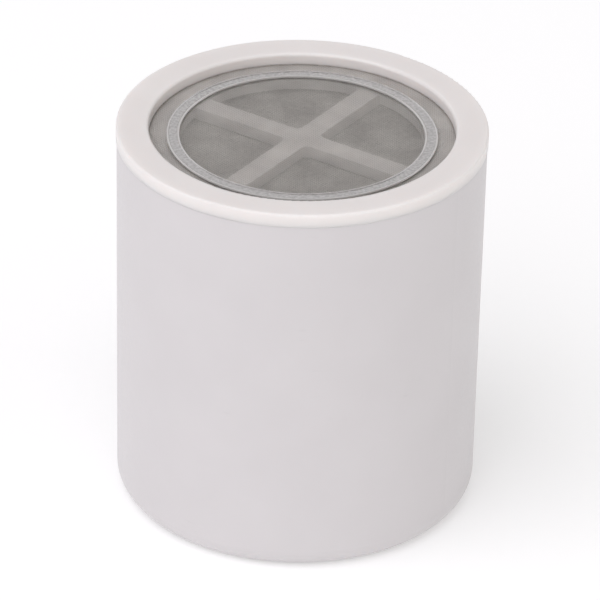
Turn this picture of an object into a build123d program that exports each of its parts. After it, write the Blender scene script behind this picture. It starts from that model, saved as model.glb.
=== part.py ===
from build123d import *
import os

# Replaceable shower filter cartridge. A moulded cup casing holds a stack of filter media between two
# fibre pads. A push-in cap closes its upper end. Each end has a round recess with a woven wire screen on
# a ring-shaped land and a four-armed cross, and a clear sealing ring lies on the upper screen.
#
# Frame: origin at the centre of the lower rim, +Z along the axis towards the cap, +X along one arm of
# the crosses. Lengths are in millimetres.

# ---- driving dimensions ----
HEIGHT = 66.0  # lower rim to upper rim
BODY_MOUTH_RADIUS = 29.87  # outside of the casing where the cap sits
BODY_FOOT_RADIUS = 29.63  # the outside tapers towards the foot, as mould draft
BORE_RADIUS = 27.7  # straight, so the wall is 1.9 mm at the foot and 2.2 mm at the mouth
FOOT_FILLET = 3.4  # rounded lower edge of the casing
MOUTH_CHAMFER = 0.3  # lead-in at the casing's open end

BAND_RADIUS = 30.0  # outside of the cap's flange, slightly proud of the casing
BAND_HEIGHT = 2.2
BAND_TOP_FILLET = 0.4
BAND_FOOT_FILLET = 0.1
PLUG_CLEARANCE = 0.08  # radial, between the cap's skirt and the casing
SKIRT_LENGTH = 5.0  # below the flange
SKIRT_THICKNESS = 1.9
SKIRT_CHAMFER = 0.5

RECESS_RADIUS = 24.75  # the same at both ends
RECESS_DEPTH = 2.0  # rim to the outer face of the screen
RECESS_FILLET = 0.5  # edge of the recess mouth
SCREEN_THICKNESS = 0.3
SCREEN_GROOVE_RADIUS = 25.05  # slot at the foot of the recess wall, which holds the screen's edge
SCREEN_GROOVE_HEIGHT = 0.4
SCREEN_GAP = 0.05  # screen to the bottom of the groove
LAND_RADIUS = 19.7  # open circle that the cross spans
LAND_THICKNESS = 1.6
ARM_WIDTH = 3.8
ARM_HEIGHT = 2.0
ARM_OVERLAP = 1.0  # how far each arm runs into the land
HUB_FILLET = 1.2  # corners where the arms cross

SEAL_INNER_RADIUS = 19.75
SEAL_OUTER_RADIUS = 21.9
SEAL_THICKNESS = 0.45
SEAL_LIP = 0.45  # flat top of each raised edge
SEAL_GROOVE_SIDE = 0.25  # sloping side of the groove between the raised edges
SEAL_GROOVE_DEPTH = 0.12
SEAL_FILLET = 0.12

PAD_HEIGHT = 3.0  # fibre pads
PAD_FILLET = 0.8
SEPARATOR_THICKNESS = 0.4  # felt discs between the media
SEPARATOR_COUNT = 8
BALL_DIAMETER = 5.9
BALL_PITCH = 6.1  # from one ring of balls to the next
BALL_RINGS = 4  # rings round the middle ball
BALLS_PER_RING_STEP = 6  # ring n holds this many balls n times over
BALL_LAYER = 6.0  # height of one layer of balls
ZEOLITE_LAYER = 7.0
COPPER_ZINC_LAYER = 8.0
LAYER_GAP = 0.05  # left at the top of each layer
LAYER_SIDE_GAP = 0.15  # layers to casing wall
PAD_SKIRT_GAP = 0.4  # upper pad to the cap's skirt

# ---- derived dimensions ----
casing_top = HEIGHT - BAND_HEIGHT
screen_back = RECESS_DEPTH + SCREEN_THICKNESS  # rim to the inner face of the screen
groove_mouth = screen_back - SCREEN_GROOVE_HEIGHT  # rim to the slot's nearer edge
land_back = screen_back + LAND_THICKNESS
arm_back = screen_back + ARM_HEIGHT
plug_radius = BORE_RADIUS - PLUG_CLEARANCE
skirt_inner_radius = plug_radius - SKIRT_THICKNESS
skirt_foot = casing_top - SKIRT_LENGTH
layer_radius = BORE_RADIUS - LAYER_SIDE_GAP
stack_foot = arm_back
stack_top = HEIGHT - arm_back

os.makedirs("parts", exist_ok=True)


def save(piece, name):
    """Label a finished piece and write it under that name."""
    piece.part.label = name
    export_step(piece.part, f"parts/{name}.step")


def add_cross(foot):
    """Add the four arms to the part being built, standing on the height foot."""
    arm_length = 2 * (LAND_RADIUS + ARM_OVERLAP)
    with BuildSketch(Plane.XY.offset(foot)) as arms:
        Rectangle(arm_length, ARM_WIDTH)
        Rectangle(ARM_WIDTH, arm_length)
        crossing = arms.vertices().sort_by_distance((0, 0, foot))[:4]
        fillet(crossing, HUB_FILLET)
    extrude(arms.sketch, amount=ARM_HEIGHT)


# ---- casing: cup with the lower recess, land and cross moulded in ----
with BuildPart() as casing:
    with BuildSketch(Plane.XZ) as casing_profile:
        with BuildLine():
            Polyline(
                (LAND_RADIUS, screen_back),
                (SCREEN_GROOVE_RADIUS, screen_back),
                (SCREEN_GROOVE_RADIUS, groove_mouth),
                (RECESS_RADIUS, groove_mouth),
                (RECESS_RADIUS, 0),
                (BODY_FOOT_RADIUS, 0),
                (BODY_MOUTH_RADIUS, casing_top),
                (BORE_RADIUS, casing_top),
                (BORE_RADIUS, land_back),
                (LAND_RADIUS, land_back),
                close=True,
            )
        make_face()
    revolve(axis=Axis.Z)
    foot_edges = casing.edges().filter_by(GeomType.CIRCLE).group_by(Axis.Z)[0]
    fillet(foot_edges.sort_by(SortBy.RADIUS)[-1], FOOT_FILLET)
    foot_edges = casing.edges().filter_by(GeomType.CIRCLE).group_by(Axis.Z)[0]
    fillet(foot_edges.sort_by(SortBy.RADIUS)[0], RECESS_FILLET)
    mouth_edges = casing.edges().filter_by(GeomType.CIRCLE).group_by(Axis.Z)[-1]
    chamfer(mouth_edges.sort_by(SortBy.RADIUS)[0], MOUTH_CHAMFER)
    add_cross(screen_back)
save(casing, "casing")

# ---- upper cap: flange, recess, land, cross and the skirt that plugs into the casing ----
with BuildPart() as top_cap:
    with BuildSketch(Plane.XZ) as cap_profile:
        with BuildLine():
            Polyline(
                (LAND_RADIUS, HEIGHT - screen_back),
                (SCREEN_GROOVE_RADIUS, HEIGHT - screen_back),
                (SCREEN_GROOVE_RADIUS, HEIGHT - groove_mouth),
                (RECESS_RADIUS, HEIGHT - groove_mouth),
                (RECESS_RADIUS, HEIGHT),
                (BAND_RADIUS, HEIGHT),
                (BAND_RADIUS, casing_top),
                (plug_radius, casing_top),
                (plug_radius, skirt_foot),
                (skirt_inner_radius, skirt_foot),
                (skirt_inner_radius, HEIGHT - land_back),
                (LAND_RADIUS, HEIGHT - land_back),
                close=True,
            )
        make_face()
    revolve(axis=Axis.Z)
    rim_edges = top_cap.edges().filter_by(GeomType.CIRCLE).group_by(Axis.Z)[-1]
    fillet(rim_edges.sort_by(SortBy.RADIUS)[-1], BAND_TOP_FILLET)
    rim_edges = top_cap.edges().filter_by(GeomType.CIRCLE).group_by(Axis.Z)[-1]
    fillet(rim_edges.sort_by(SortBy.RADIUS)[0], RECESS_FILLET)
    band_edges = top_cap.edges().filter_by(GeomType.CIRCLE).filter_by_position(Axis.Z, casing_top, casing_top)
    fillet(band_edges.sort_by(SortBy.RADIUS)[-1], BAND_FOOT_FILLET)
    skirt_edges = top_cap.edges().filter_by(GeomType.CIRCLE).group_by(Axis.Z)[0]
    chamfer(skirt_edges.sort_by(SortBy.RADIUS)[-1], SKIRT_CHAMFER)
    add_cross(HEIGHT - arm_back)
save(top_cap, "top_cap")

# ---- screens: woven wire discs, plain here, one lying in each recess ----
with BuildPart() as top_screen:
    with BuildSketch(Plane.XY.offset(HEIGHT - screen_back)):
        Circle(SCREEN_GROOVE_RADIUS - SCREEN_GAP)
    extrude(amount=SCREEN_THICKNESS)
save(top_screen, "top_screen")

with BuildPart() as bottom_screen:
    with BuildSketch(Plane.XY.offset(RECESS_DEPTH)):
        Circle(SCREEN_GROOVE_RADIUS - SCREEN_GAP)
    extrude(amount=SCREEN_THICKNESS)
save(bottom_screen, "bottom_screen")

# ---- sealing ring: clear flat ring with a shallow groove between two raised edges ----
seal_foot = HEIGHT - RECESS_DEPTH
seal_top = seal_foot + SEAL_THICKNESS
groove_inset = SEAL_LIP + SEAL_GROOVE_SIDE
with BuildPart() as sealing_ring:
    with BuildSketch(Plane.XZ) as seal_profile:
        with BuildLine():
            Polyline(
                (SEAL_INNER_RADIUS, seal_foot),
                (SEAL_OUTER_RADIUS, seal_foot),
                (SEAL_OUTER_RADIUS, seal_top),
                (SEAL_OUTER_RADIUS - SEAL_LIP, seal_top),
                (SEAL_OUTER_RADIUS - groove_inset, seal_top - SEAL_GROOVE_DEPTH),
                (SEAL_INNER_RADIUS + groove_inset, seal_top - SEAL_GROOVE_DEPTH),
                (SEAL_INNER_RADIUS + SEAL_LIP, seal_top),
                (SEAL_INNER_RADIUS, seal_top),
                close=True,
            )
        make_face()
    revolve(axis=Axis.Z)
    lip_edges = sealing_ring.edges().filter_by(GeomType.CIRCLE).group_by(Axis.Z)[-1]
    fillet(lip_edges.sort_by(SortBy.RADIUS)[-1], SEAL_FILLET)
    lip_edges = sealing_ring.edges().filter_by(GeomType.CIRCLE).group_by(Axis.Z)[-1]
    fillet(lip_edges.sort_by(SortBy.RADIUS)[0], SEAL_FILLET)
save(sealing_ring, "sealing_ring")


# ---- media stack, from the lower cross up to the upper one ----
def fibre_pad(name, foot, radius):
    """A round pad of loose fibre with soft edges."""
    with BuildPart() as pad:
        with BuildSketch(Plane.XY.offset(foot)):
            Circle(radius)
        extrude(amount=PAD_HEIGHT - LAYER_GAP)
        fillet(pad.edges().filter_by(GeomType.CIRCLE), PAD_FILLET)
    save(pad, name)


def separator(name, foot):
    """A thin felt disc that keeps two layers apart."""
    with BuildPart() as felt:
        with BuildSketch(Plane.XY.offset(foot)):
            Circle(layer_radius)
        extrude(amount=SEPARATOR_THICKNESS - LAYER_GAP)
    save(felt, name)


def granule_bed(name, foot, height):
    """A level bed of fine granules."""
    with BuildPart() as bed:
        with BuildSketch(Plane.XY.offset(foot)):
            Circle(layer_radius)
        extrude(amount=height - LAYER_GAP)
    save(bed, name)


def ball_layer(name, foot):
    """One layer of loose balls: one in the middle and rings of balls round it."""
    with BuildPart(Plane.XY.offset(foot + BALL_LAYER / 2)) as balls:
        Sphere(BALL_DIAMETER / 2)
        for ring in range(1, BALL_RINGS + 1):
            with PolarLocations(ring * BALL_PITCH, ring * BALLS_PER_RING_STEP):
                Sphere(BALL_DIAMETER / 2)
    save(balls, name)


ball_names = ("tourmaline_balls", "alkaline_balls", "mineral_balls")
carbon_layer = (
    stack_top
    - stack_foot
    - 2 * PAD_HEIGHT
    - (len(ball_names) + 1) * BALL_LAYER
    - ZEOLITE_LAYER
    - COPPER_ZINC_LAYER
    - SEPARATOR_COUNT * SEPARATOR_THICKNESS
)

level = stack_foot
fibre_pad("bottom_fibre_pad", level, layer_radius)
level += PAD_HEIGHT
separator("separator_felt_1", level)
level += SEPARATOR_THICKNESS
for number, ball_name in enumerate(ball_names, start=2):
    ball_layer(ball_name, level)
    level += BALL_LAYER
    separator(f"separator_felt_{number}", level)
    level += SEPARATOR_THICKNESS
granule_bed("zeolite_granules", level, ZEOLITE_LAYER)
level += ZEOLITE_LAYER
separator("separator_felt_5", level)
level += SEPARATOR_THICKNESS
granule_bed("carbon_granules", level, carbon_layer)
level += carbon_layer
separator("separator_felt_6", level)
level += SEPARATOR_THICKNESS
granule_bed("copper_zinc_granules", level, COPPER_ZINC_LAYER)
level += COPPER_ZINC_LAYER
separator("separator_felt_7", level)
level += SEPARATOR_THICKNESS
ball_layer("calcium_sulfite_balls", level)
level += BALL_LAYER
separator("separator_felt_8", level)
level += SEPARATOR_THICKNESS
fibre_pad("top_fibre_pad", level, skirt_inner_radius - PAD_SKIRT_GAP)
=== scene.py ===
import math
import random

import bpy
from mathutils import Matrix, Vector, noise


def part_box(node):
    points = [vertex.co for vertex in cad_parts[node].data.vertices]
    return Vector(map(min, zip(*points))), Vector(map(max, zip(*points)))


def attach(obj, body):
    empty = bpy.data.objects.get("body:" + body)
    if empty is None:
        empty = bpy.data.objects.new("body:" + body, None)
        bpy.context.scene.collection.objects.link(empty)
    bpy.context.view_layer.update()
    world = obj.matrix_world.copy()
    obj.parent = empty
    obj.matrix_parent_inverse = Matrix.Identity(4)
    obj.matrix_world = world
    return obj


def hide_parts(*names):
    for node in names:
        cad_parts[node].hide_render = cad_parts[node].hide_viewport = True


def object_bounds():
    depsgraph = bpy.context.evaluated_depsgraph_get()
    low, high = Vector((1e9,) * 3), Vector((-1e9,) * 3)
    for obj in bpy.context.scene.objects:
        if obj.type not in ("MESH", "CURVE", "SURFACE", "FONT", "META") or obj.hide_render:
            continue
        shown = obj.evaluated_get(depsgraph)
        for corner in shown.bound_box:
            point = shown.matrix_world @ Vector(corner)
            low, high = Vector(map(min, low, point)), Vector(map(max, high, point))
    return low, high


# Shower filter cartridge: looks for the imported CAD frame. Lengths are in metres.
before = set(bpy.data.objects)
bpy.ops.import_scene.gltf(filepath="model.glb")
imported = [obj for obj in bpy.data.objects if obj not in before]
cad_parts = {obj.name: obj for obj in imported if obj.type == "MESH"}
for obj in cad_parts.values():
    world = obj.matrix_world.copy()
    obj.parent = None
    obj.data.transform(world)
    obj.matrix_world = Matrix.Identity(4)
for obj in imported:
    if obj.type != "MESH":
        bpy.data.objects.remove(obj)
cad_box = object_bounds()

MM = 0.001
SEED = 7

# ---- camera and stage ----
VIEW_AZIMUTH = math.radians(33.5)  # from the -Y side, round towards +X
VIEW_ELEVATION = math.radians(30.2)
VIEW_ROLL = math.radians(1.3)  # the object leans this far to the right in the picture
VIEW_DISTANCE = 0.84
SENSOR_WIDTH = 36.0
LENS = 307.5
AIM_RIGHT = 0.25 * MM  # the view's middle, from the object's middle
AIM_UP = 0.36 * MM
FLOOR_SIZE = 6.0
FLOOR_SHADE = 0.8
FLOOR_GLOW = 0.26  # keeps the pale floor near white
SKY_STRENGTH = 0.54
LIGHT_DISTANCE = 1.6
FLOOR_GAP = 0.02 * MM  # keeps the floor out of the lower rim's own plane


def direction(azimuth, elevation):
    """Unit vector from the object towards a viewer or a light at that azimuth and elevation."""
    flat = math.cos(elevation)
    return Vector((math.sin(azimuth) * flat, -math.cos(azimuth) * flat, math.sin(elevation)))


def place_camera():
    """Long-lens camera at the reference viewing angle, aimed at the middle of the object."""
    low, high = (Vector(corner) for corner in cad_box)
    middle = (low + high) / 2
    back = direction(VIEW_AZIMUTH, VIEW_ELEVATION)
    right = Vector((math.cos(VIEW_AZIMUTH), math.sin(VIEW_AZIMUTH), 0.0))
    up = back.cross(right)
    turned_right = right * math.cos(VIEW_ROLL) + up * math.sin(VIEW_ROLL)
    turned_up = up * math.cos(VIEW_ROLL) - right * math.sin(VIEW_ROLL)
    data = bpy.data.cameras.new("camera")
    data.lens = LENS
    data.sensor_width = SENSOR_WIDTH
    data.clip_start = 0.01
    data.clip_end = 20.0
    camera = bpy.data.objects.new("camera", data)
    spot = middle + back * VIEW_DISTANCE + turned_right * AIM_RIGHT + turned_up * AIM_UP
    axes = Matrix((turned_right, turned_up, back)).transposed()
    camera.matrix_world = Matrix.Translation(spot) @ axes.to_4x4()
    bpy.context.scene.collection.objects.link(camera)
    bpy.context.scene.camera = camera


def add_area_light(name, left_of_camera, elevation, size, power, color):
    """Soft square light turned to the object, placed by its angles from the camera's direction."""
    data = bpy.data.lights.new(name, "AREA")
    data.size = size
    data.energy = power
    data.color = color
    light = bpy.data.objects.new(name, data)
    towards = direction(VIEW_AZIMUTH - math.radians(left_of_camera), math.radians(elevation))
    light.location = towards * LIGHT_DISTANCE
    light.rotation_euler = towards.to_track_quat("Z", "Y").to_euler()
    bpy.context.scene.collection.objects.link(light)


def build_stage():
    """White floor, white surroundings and soft studio lights."""
    scene = bpy.context.scene
    scene.view_settings.view_transform = "Standard"
    world = bpy.data.worlds.new("studio")
    world.use_nodes = True
    sky = world.node_tree.nodes["Background"]
    sky.inputs["Color"].default_value = (1.0, 0.985, 0.99, 1.0)
    sky.inputs["Strength"].default_value = SKY_STRENGTH
    scene.world = world

    half = FLOOR_SIZE / 2
    mesh = bpy.data.meshes.new("floor")
    below = -FLOOR_GAP
    corners = [(-half, -half, below), (half, -half, below), (half, half, below), (-half, half, below)]
    mesh.from_pydata(corners, [], [(0, 1, 2, 3)])
    floor = bpy.data.objects.new("floor", mesh)
    scene.collection.objects.link(floor)
    material, tree, shader = new_material("floor_white")
    shader.inputs["Base Color"].default_value = (FLOOR_SHADE, FLOOR_SHADE, FLOOR_SHADE, 1.0)
    shader.inputs["Emission Color"].default_value = (1.0, 1.0, 1.0, 1.0)
    shader.inputs["Emission Strength"].default_value = FLOOR_GLOW
    shader.inputs["Roughness"].default_value = 0.9
    shader.inputs["Specular IOR Level"].default_value = 0.1
    mesh.materials.append(material)

    add_area_light("key", 48, 55, 1.8, 15.5, (0.965, 0.952, 1.0))
    add_area_light("fill", -60, 35, 1.0, 2.4, (1.0, 0.985, 0.93))
    add_area_light("front", 0, 35, 1.2, 2.2, (1.0, 0.99, 0.98))


# ---- node helpers ----
def new_material(name):
    """Material with its node tree and its principled shader."""
    material = bpy.data.materials.new(name)
    material.use_nodes = True
    tree = material.node_tree
    return material, tree, tree.nodes["Principled BSDF"]


def object_coordinates(tree):
    return tree.nodes.new("ShaderNodeTexCoord").outputs["Object"]


def noise_field(tree, vector, size, detail=3.0, roughness=0.5):
    """Noise whose features are about size across."""
    field = tree.nodes.new("ShaderNodeTexNoise")
    field.inputs["Scale"].default_value = 1.0 / size
    field.inputs["Detail"].default_value = detail
    field.inputs["Roughness"].default_value = roughness
    tree.links.new(vector, field.inputs["Vector"])
    return field.outputs["Fac"]


def stretched(tree, vector, scale):
    """Coordinates scaled by a different amount along each axis."""
    mapping = tree.nodes.new("ShaderNodeMapping")
    mapping.inputs["Scale"].default_value = scale
    tree.links.new(vector, mapping.inputs["Vector"])
    return mapping.outputs["Vector"]


def spread(tree, value, from_low, from_high, to_low, to_high):
    """value mapped from one range to another, and clamped there."""
    node = tree.nodes.new("ShaderNodeMapRange")
    node.inputs["From Min"].default_value = from_low
    node.inputs["From Max"].default_value = from_high
    node.inputs["To Min"].default_value = to_low
    node.inputs["To Max"].default_value = to_high
    tree.links.new(value, node.inputs["Value"])
    return node.outputs["Result"]


def tint(tree, factor, low, high):
    """Colour between low and high by factor."""
    node = tree.nodes.new("ShaderNodeMix")
    node.data_type = "RGBA"
    node.inputs["A"].default_value = (*low, 1.0)
    node.inputs["B"].default_value = (*high, 1.0)
    tree.links.new(factor, node.inputs["Factor"])
    return node.outputs["Result"]


def tint_over(tree, factor, under, over):
    """A constant colour laid over a linked one by factor."""
    node = tree.nodes.new("ShaderNodeMix")
    node.data_type = "RGBA"
    tree.links.new(under, node.inputs["A"])
    node.inputs["B"].default_value = (*over, 1.0)
    tree.links.new(factor, node.inputs["Factor"])
    return node.outputs["Result"]


def add_bump(tree, shader, layers):
    """Bump from several (height, depth) layers, one over the other."""
    normal = None
    for height, depth in layers:
        bump = tree.nodes.new("ShaderNodeBump")
        bump.inputs["Distance"].default_value = depth
        tree.links.new(height, bump.inputs["Height"])
        if normal is not None:
            tree.links.new(normal, bump.inputs["Normal"])
        normal = bump.outputs["Normal"]
    tree.links.new(normal, shader.inputs["Normal"])


# ---- materials ----
def moulded_plastic(name, light, dark, roughness, translucency):
    """White injection-moulded plastic: faint mottling, fine orange peel and a few faint, darker scuffs."""
    material, tree, shader = new_material(name)
    place = object_coordinates(tree)
    mottle = noise_field(tree, place, 14 * MM, detail=4.0)
    grain = noise_field(tree, place, 0.5 * MM, detail=2.0)
    drawn_out = stretched(tree, place, (0.25, 0.25, 2.2))
    scuff_lines = noise_field(tree, drawn_out, 1.1 * MM, detail=5.0, roughness=0.65)
    scuff_places = noise_field(tree, place, 9 * MM, detail=2.0)
    lines = spread(tree, scuff_lines, 0.62, 0.7, 0.0, 1.0)
    places = spread(tree, scuff_places, 0.58, 0.7, 0.0, 1.0)
    scuffs = tree.nodes.new("ShaderNodeMath")
    scuffs.operation = "MULTIPLY"
    tree.links.new(lines, scuffs.inputs[0])
    tree.links.new(places, scuffs.inputs[1])
    scuff_share = spread(tree, scuffs.outputs["Value"], 0.0, 1.0, 0.0, 0.35)
    base = tint(tree, spread(tree, mottle, 0.3, 0.7, 0.0, 1.0), dark, light)
    scuffed = tuple(0.88 * part for part in dark)
    tree.links.new(tint_over(tree, scuff_share, base, scuffed), shader.inputs["Base Color"])
    dullness = spread(tree, grain, 0.3, 0.7, roughness - 0.05, roughness + 0.07)
    tree.links.new(dullness, shader.inputs["Roughness"])
    shader.inputs["IOR"].default_value = 1.49
    shader.inputs["Subsurface Weight"].default_value = translucency
    shader.inputs["Subsurface Radius"].default_value = (1.0, 0.9, 0.85)
    shader.inputs["Subsurface Scale"].default_value = 2.5 * MM
    add_bump(tree, shader, [(mottle, 0.03 * MM), (grain, 0.006 * MM), (scuffs.outputs["Value"], 0.01 * MM)])
    return material


def steel_wire():
    """Drawn stainless wire, slightly dull, with darker stretches."""
    material, tree, shader = new_material("stainless_wire")
    place = object_coordinates(tree)
    patches = noise_field(tree, place, 5 * MM, detail=3.0)
    drawn = noise_field(tree, place, 0.05 * MM, detail=1.0)
    color = tint(tree, spread(tree, patches, 0.3, 0.7, 0.0, 1.0), (0.52, 0.5, 0.475), (0.66, 0.64, 0.605))
    tree.links.new(color, shader.inputs["Base Color"])
    tree.links.new(spread(tree, drawn, 0.3, 0.7, 0.3, 0.45), shader.inputs["Roughness"])
    shader.inputs["Metallic"].default_value = 0.9
    return material


def clear_silicone(middle_radius, web_half_width, bead_width):
    """Partly clear silicone: beads tinted paler as a painted highlight along each edge, a mottled web
    between them and tiny bubbles in the surface.
    """
    material, tree, shader = new_material("clear_silicone")
    place = object_coordinates(tree)
    from_axis = tree.nodes.new("ShaderNodeVectorMath")
    from_axis.operation = "LENGTH"
    tree.links.new(stretched(tree, place, (1.0, 1.0, 0.0)), from_axis.inputs[0])
    aside = tree.nodes.new("ShaderNodeMath")
    aside.operation = "SUBTRACT"
    tree.links.new(from_axis.outputs["Value"], aside.inputs[0])
    aside.inputs[1].default_value = middle_radius
    from_middle = tree.nodes.new("ShaderNodeMath")
    from_middle.operation = "ABSOLUTE"
    tree.links.new(aside.outputs["Value"], from_middle.inputs[0])
    width = from_middle.outputs["Value"]
    # painted highlight: the beads are tinted paler than the web, on top of the real gloss of their round
    # tops
    bead_highlight_share = spread(tree, width, web_half_width, web_half_width + bead_width, 0.0, 1.0)
    cloud = noise_field(tree, place, 0.55 * MM, detail=4.0)
    bubbles = noise_field(tree, place, 0.35 * MM, detail=1.0)
    web = tint(tree, spread(tree, cloud, 0.35, 0.65, 0.0, 1.0), (0.27, 0.26, 0.25), (0.42, 0.405, 0.395))
    # the pale bead colour is the painted highlight along each edge of the ring
    tree.links.new(tint_over(tree, bead_highlight_share, web, (0.56, 0.545, 0.53)), shader.inputs["Base Color"])
    tree.links.new(spread(tree, bubbles, 0.35, 0.7, 0.08, 0.22), shader.inputs["Roughness"])
    shader.inputs["IOR"].default_value = 1.41
    shader.inputs["Transmission Weight"].default_value = 0.4
    add_bump(tree, shader, [(bubbles, 0.008 * MM)])
    return material


def fibre_felt(name, low, high):
    """Matted fibre: fine tangled strands, lighter and darker, with a soft sheen."""
    material, tree, shader = new_material(name)
    place = object_coordinates(tree)
    along_x = stretched(tree, place, (0.3, 2.5, 1.0))
    along_y = stretched(tree, place, (2.5, 0.3, 1.0))
    strands_a = noise_field(tree, along_x, 0.5 * MM, detail=4.0, roughness=0.6)
    strands_b = noise_field(tree, along_y, 0.5 * MM, detail=4.0, roughness=0.6)
    both = tree.nodes.new("ShaderNodeMath")
    both.operation = "MAXIMUM"
    tree.links.new(strands_a, both.inputs[0])
    tree.links.new(strands_b, both.inputs[1])
    strands = both.outputs["Value"]
    color = tint(tree, spread(tree, strands, 0.4, 0.75, 0.0, 1.0), low, high)
    tree.links.new(color, shader.inputs["Base Color"])
    shader.inputs["Roughness"].default_value = 0.95
    shader.inputs["Sheen Weight"].default_value = 0.3
    shader.inputs["Sheen Roughness"].default_value = 0.6
    add_bump(tree, shader, [(strands, 0.12 * MM)])
    return material


def grainy(name, low, high, grain_size, roughness, depth):
    """Packed grains or a rough fired surface: cells of different shade, each raised in its middle."""
    material, tree, shader = new_material(name)
    place = object_coordinates(tree)
    cells = tree.nodes.new("ShaderNodeTexVoronoi")
    cells.inputs["Scale"].default_value = 1.0 / grain_size
    tree.links.new(place, cells.inputs["Vector"])
    shade = tree.nodes.new("ShaderNodeSeparateColor")
    tree.links.new(cells.outputs["Color"], shade.inputs["Color"])
    speckle = noise_field(tree, place, grain_size / 4, detail=3.0)
    mixed = tree.nodes.new("ShaderNodeMath")
    mixed.operation = "MULTIPLY"
    tree.links.new(shade.outputs["Red"], mixed.inputs[0])
    tree.links.new(spread(tree, speckle, 0.2, 0.8, 0.5, 1.3), mixed.inputs[1])
    tree.links.new(tint(tree, mixed.outputs["Value"], low, high), shader.inputs["Base Color"])
    dullness = spread(tree, speckle, 0.3, 0.7, roughness - 0.1, roughness + 0.1)
    tree.links.new(dullness, shader.inputs["Roughness"])
    lumps = spread(tree, cells.outputs["Distance"], 0.0, 0.8, 1.0, 0.0)
    add_bump(tree, shader, [(lumps, depth), (speckle, depth / 5)])
    return material


# ---- mesh helpers ----
STEEP = 0.9  # upward share beyond which a path counts as vertical


def make_piece(name, points, faces, material, body, slot, *nodes):
    """New smooth-shaded piece that rides on body and stands for nodes."""
    mesh = bpy.data.meshes.new(name)
    mesh.from_pydata(points, [], faces)
    mesh.validate()
    mesh.shade_smooth()
    mesh.materials.append(material)
    piece = bpy.data.objects.new(name, mesh)
    bpy.context.scene.collection.objects.link(piece)
    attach(piece, body)
    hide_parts(*nodes)
    return piece


def add_tube(points, faces, path, radius, sides):
    """Append a round tube with closed ends along path, its rings square to the path."""
    start = len(points)
    last = len(path) - 1
    for i, spot in enumerate(path):
        along = (path[min(i + 1, last)] - path[max(i - 1, 0)]).normalized()
        reference = Vector((0, 0, 1)) if abs(along.z) < STEEP else Vector((1, 0, 0))
        across = along.cross(reference).normalized()
        rise = across.cross(along)
        for side in range(sides):
            turn = 2 * math.pi * (side + 0.5) / sides
            points.append(spot + (across * math.cos(turn) + rise * math.sin(turn)) * radius)
    for i in range(last):
        for side in range(sides):
            a = start + i * sides + side
            b = start + i * sides + (side + 1) % sides
            faces.append((a, b, b + sides, a + sides))
    faces.append(tuple(start + side for side in reversed(range(sides))))
    faces.append(tuple(start + last * sides + side for side in range(sides)))


def revolve_profile(profile, segments, offset):
    """Points and faces of a closed (radius, height) profile turned round Z, each point raised by offset."""
    points, faces = [], []
    count = len(profile)
    for segment in range(segments):
        turn = 2 * math.pi * segment / segments
        for index, (radius, height) in enumerate(profile):
            lift = offset(index, radius, turn)
            points.append((radius * math.cos(turn), radius * math.sin(turn), height + lift))
    for segment in range(segments):
        here, beyond = segment * count, (segment + 1) % segments * count
        for index in range(count):
            after = (index + 1) % count
            faces.append((here + index, beyond + index, beyond + after, here + after))
    return points, faces


# ---- woven wire screens ----
WIRE_RADIUS = 0.042 * MM
WEAVE_PITCH = 0.3 * MM
WEAVE_ANGLE = math.radians(33.0)  # the wires lie at no particular angle to the cross
WIRE_SIDES = 4


def woven_screen(name, node, body, material):
    """Plain-weave disc: each wire passes over and under the wires that it crosses."""
    low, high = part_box(node)
    radius = (high.x - low.x) / 2
    middle = (high.z + low.z) / 2
    turn = Matrix.Rotation(WEAVE_ANGLE, 3, "Z")
    points, faces = [], []
    reach = int(radius / WEAVE_PITCH)
    for crosswise in (0, 1):
        for row in range(-reach, reach + 1):
            across = row * WEAVE_PITCH
            half_chord = math.sqrt(radius**2 - across**2)
            steps = int(half_chord / WEAVE_PITCH)
            if steps < 2:
                continue
            path = []
            for step in range(-steps, steps + 1):
                over = 1 if (row + step + crosswise) % 2 else -1
                spot = Vector((step * WEAVE_PITCH, across, over * WIRE_RADIUS))
                if crosswise:
                    spot.x, spot.y = spot.y, spot.x
                spot = turn @ spot
                spot.z += middle
                path.append(spot)
            add_tube(points, faces, path, WIRE_RADIUS, WIRE_SIDES)
    make_piece(name, points, faces, material, body, "screen_wire", node)


# ---- clear sealing ring ----
RING_SEGMENTS = 360
BEAD_RADIUS = 0.22 * MM
WEB_HEIGHT = 0.3 * MM
FOOT_INSET = 0.08 * MM  # how far the ring's foot draws in
FOOT_RISE = 0.05 * MM
RIPPLE_SIZE = 0.9 * MM
RIPPLE_DEPTH = 0.1 * MM
BEAD_STEPS = 10
WEB_STEPS = 8


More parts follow.
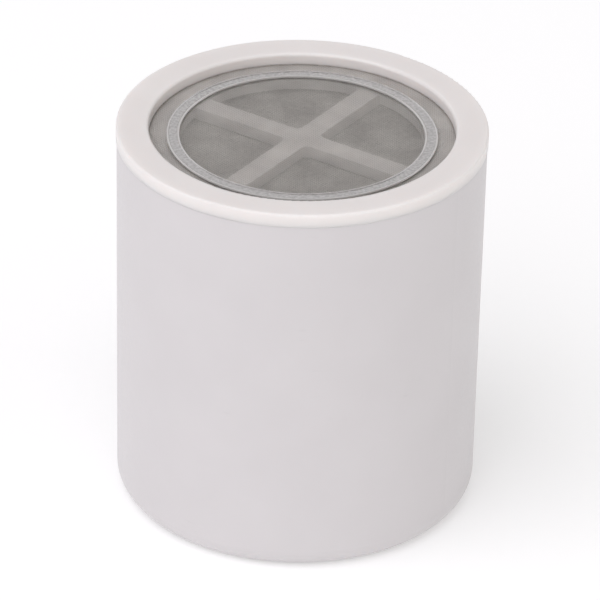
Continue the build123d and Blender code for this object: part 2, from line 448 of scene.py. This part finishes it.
def clear_ring():
    """Sealing ring with a rounded bead along each edge and an uneven web between them."""
    low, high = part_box("sealing_ring")
    inner = min(v.co.xy.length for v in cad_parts["sealing_ring"].data.vertices)
    outer = high.x
    bead = BEAD_RADIUS
    web_top = low.z + WEB_HEIGHT
    material = clear_silicone((inner + outer) / 2, (outer - inner) / 2 - 2 * bead, bead)
    bead_height = high.z - bead
    profile = [(inner + bead, low.z), (inner + FOOT_INSET, low.z + FOOT_RISE)]
    meet = math.asin((web_top - bead_height) / bead)
    for step in range(BEAD_STEPS + 1):
        turn = math.pi + (meet - math.pi) * step / BEAD_STEPS
        profile.append((inner + bead + bead * math.cos(turn), bead_height + bead * math.sin(turn)))
    web_start = profile[-1][0]
    web_end = outer - (web_start - inner)
    first_web = len(profile)
    for step in range(1, WEB_STEPS):
        profile.append((web_start + (web_end - web_start) * step / WEB_STEPS, web_top))
    last_web = len(profile) - 1
    for step in range(BEAD_STEPS + 1):
        turn = math.pi - meet + (meet - math.pi) * step / BEAD_STEPS
        profile.append((outer - bead + bead * math.cos(turn), bead_height + bead * math.sin(turn)))
    profile += [(outer - FOOT_INSET, low.z + FOOT_RISE), (outer - bead, low.z)]

    def ripple(index, radius, turn):
        if not first_web <= index <= last_web:
            return 0.0
        spot = Vector((radius * math.cos(turn), radius * math.sin(turn), 0.0)) / RIPPLE_SIZE
        return RIPPLE_DEPTH * noise.noise(spot)

    points, faces = revolve_profile(profile, RING_SEGMENTS, ripple)
    make_piece("clear_ring", points, faces, material, "seal_body", "clear_silicone", "sealing_ring")


# ---- fibre pads ----
PAD_RINGS = 60
PAD_SPOKES = 200
STRAND_RADIUS = 0.03 * MM
STRAND_SIDES = 3
STRAND_STEPS = 9
STEP_LENGTH = (0.35, 0.9)  # in millimetres
MOST_BEND = 0.35  # radians at each step
STRAND_LIFT = (0.3, 1.6)  # height over the face, in strand radii
STRANDS_PER_FACE = 900
CROWN_POWER = 8  # high: flat in the middle, rounded close to the edge
LUMP_SIZE = 2.2 * MM
LUMP_DEPTH = 0.09 * MM
STRAND_REACH = 0.93  # share of the pad's radius where strands start
STRAND_LIMIT = 0.96  # and beyond which they stop


def fibre_pad(name, node, material):
    """Crowned fibre pad, coloured dark grey, with an uneven matted surface and loose strands on both faces.
    """
    low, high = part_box(node)
    radius = (high.x - low.x) / 2
    middle = (low.z + high.z) / 2
    half = (high.z - low.z) / 2 - 3 * STRAND_RADIUS

    def face_height(x, y, side):
        """How far the pad's face stands from its middle plane at a point."""
        share = min(1.0, math.hypot(x, y) / radius)
        crown = math.sqrt(max(0.0, 1.0 - share**CROWN_POWER))
        spot = Vector((x, y, side * radius)) / LUMP_SIZE
        lumps = LUMP_DEPTH * (noise.fractal(spot, 0.8, 2.0, 4) - 1.0)
        return max(0.0, half * crown + lumps)

    points, faces = [], []
    for side in (1, -1):
        start = len(points)
        points.append((0, 0, middle + side * face_height(0, 0, side)))
        for ring in range(1, PAD_RINGS + 1):
            share = math.sin(math.pi / 2 * ring / PAD_RINGS)
            for spoke in range(PAD_SPOKES):
                turn = 2 * math.pi * spoke / PAD_SPOKES
                x, y = radius * share * math.cos(turn), radius * share * math.sin(turn)
                lift = 0.0 if ring == PAD_RINGS else face_height(x, y, side)
                points.append((x, y, middle + side * lift))
        for spoke in range(PAD_SPOKES):
            after = (spoke + 1) % PAD_SPOKES
            triangle = (start, start + 1 + spoke, start + 1 + after)
            faces.append(triangle if side > 0 else triangle[::-1])
            for ring in range(PAD_RINGS - 1):
                a, b = start + 1 + ring * PAD_SPOKES + spoke, start + 1 + ring * PAD_SPOKES + after
                quad = (a, a + PAD_SPOKES, b + PAD_SPOKES, b)
                faces.append(quad if side > 0 else quad[::-1])

    draw = random.Random(SEED)
    for side in (1, -1):
        for _ in range(STRANDS_PER_FACE):
            reach = radius * STRAND_REACH * math.sqrt(draw.random())
            turn = draw.uniform(0, 2 * math.pi)
            spot = Vector((reach * math.cos(turn), reach * math.sin(turn), 0))
            heading = draw.uniform(0, 2 * math.pi)
            bend = draw.uniform(-MOST_BEND, MOST_BEND)
            step_length = draw.uniform(*STEP_LENGTH) * MM
            path = []
            for _ in range(STRAND_STEPS):
                if spot.xy.length > radius * STRAND_LIMIT:
                    break
                lift = face_height(spot.x, spot.y, side) + draw.uniform(*STRAND_LIFT) * STRAND_RADIUS
                path.append(Vector((spot.x, spot.y, middle + side * lift)))
                heading += bend
                spot = spot + Vector((math.cos(heading), math.sin(heading), 0)) * step_length
            if len(path) > 2:
                add_tube(points, faces, path, STRAND_RADIUS, STRAND_SIDES)
    piece = make_piece(name, points, faces, material, "casing_body", "white_fibre", node)


# ---- CAD parts that keep their own shape ----
SEPARATOR_COUNT = 8


def finish_cad(node, material):
    """Give a CAD part its material; its shape and shading stay as packed."""
    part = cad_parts[node]
    part.data.materials.clear()
    part.data.materials.append(material)


place_camera()
build_stage()

# one white plastic in two tones: partly the cap's own lighter plastic, partly painted shade, since the
# casing is darkened further to offset the light its sides get from the floor and the front lamp
plastic = moulded_plastic("casing_white", (0.645, 0.62, 0.627), (0.625, 0.6, 0.607), 0.36, 0.08)
cap_plastic = moulded_plastic("cap_white", (0.79, 0.755, 0.738), (0.765, 0.73, 0.713), 0.34, 0.6)
wire = steel_wire()
# the pad fibre is coloured dark, which keeps the gaps in the screens dark
pad_felt = fibre_felt("pad_fibre", (0.16, 0.15, 0.138), (0.62, 0.595, 0.56))
disc_felt = fibre_felt("disc_felt", (0.5, 0.49, 0.46), (0.75, 0.74, 0.7))

finish_cad("casing", plastic)
finish_cad("top_cap", cap_plastic)
for number in range(1, SEPARATOR_COUNT + 1):
    finish_cad(f"separator_felt_{number}", disc_felt)
media = (
    ("tourmaline_balls", "tourmaline", (0.02, 0.018, 0.018), (0.06, 0.05, 0.05), 0.5, 0.7, 0.02),
    ("alkaline_balls", "alkaline_ceramic", (0.55, 0.52, 0.46), (0.7, 0.68, 0.62), 0.4, 0.7, 0.02),
    ("mineral_balls", "mineral_ceramic", (0.25, 0.1, 0.05), (0.42, 0.2, 0.11), 0.45, 0.7, 0.02),
    ("calcium_sulfite_balls", "calcium_sulfite", (0.62, 0.6, 0.55), (0.8, 0.78, 0.74), 0.35, 0.8, 0.02),
    ("zeolite_granules", "zeolite", (0.22, 0.25, 0.2), (0.45, 0.48, 0.4), 1.2, 0.8, 0.2),
    ("carbon_granules", "carbon", (0.008, 0.008, 0.008), (0.03, 0.03, 0.03), 0.9, 0.6, 0.2),
    ("copper_zinc_granules", "copper_zinc", (0.3, 0.17, 0.06), (0.6, 0.42, 0.2), 0.4, 0.45, 0.1),
)
for node, slot, low, high, grain_mm, roughness, depth_mm in media:
    finish_cad(node, grainy(slot, low, high, grain_mm * MM, roughness, depth_mm * MM))

woven_screen("top_screen_weave", "top_screen", "cap_body", wire)
woven_screen("bottom_screen_weave", "bottom_screen", "casing_body", wire)
clear_ring()
fibre_pad("top_pad_fibre", "top_fibre_pad", pad_felt)
fibre_pad("bottom_pad_fibre", "bottom_fibre_pad", pad_felt)
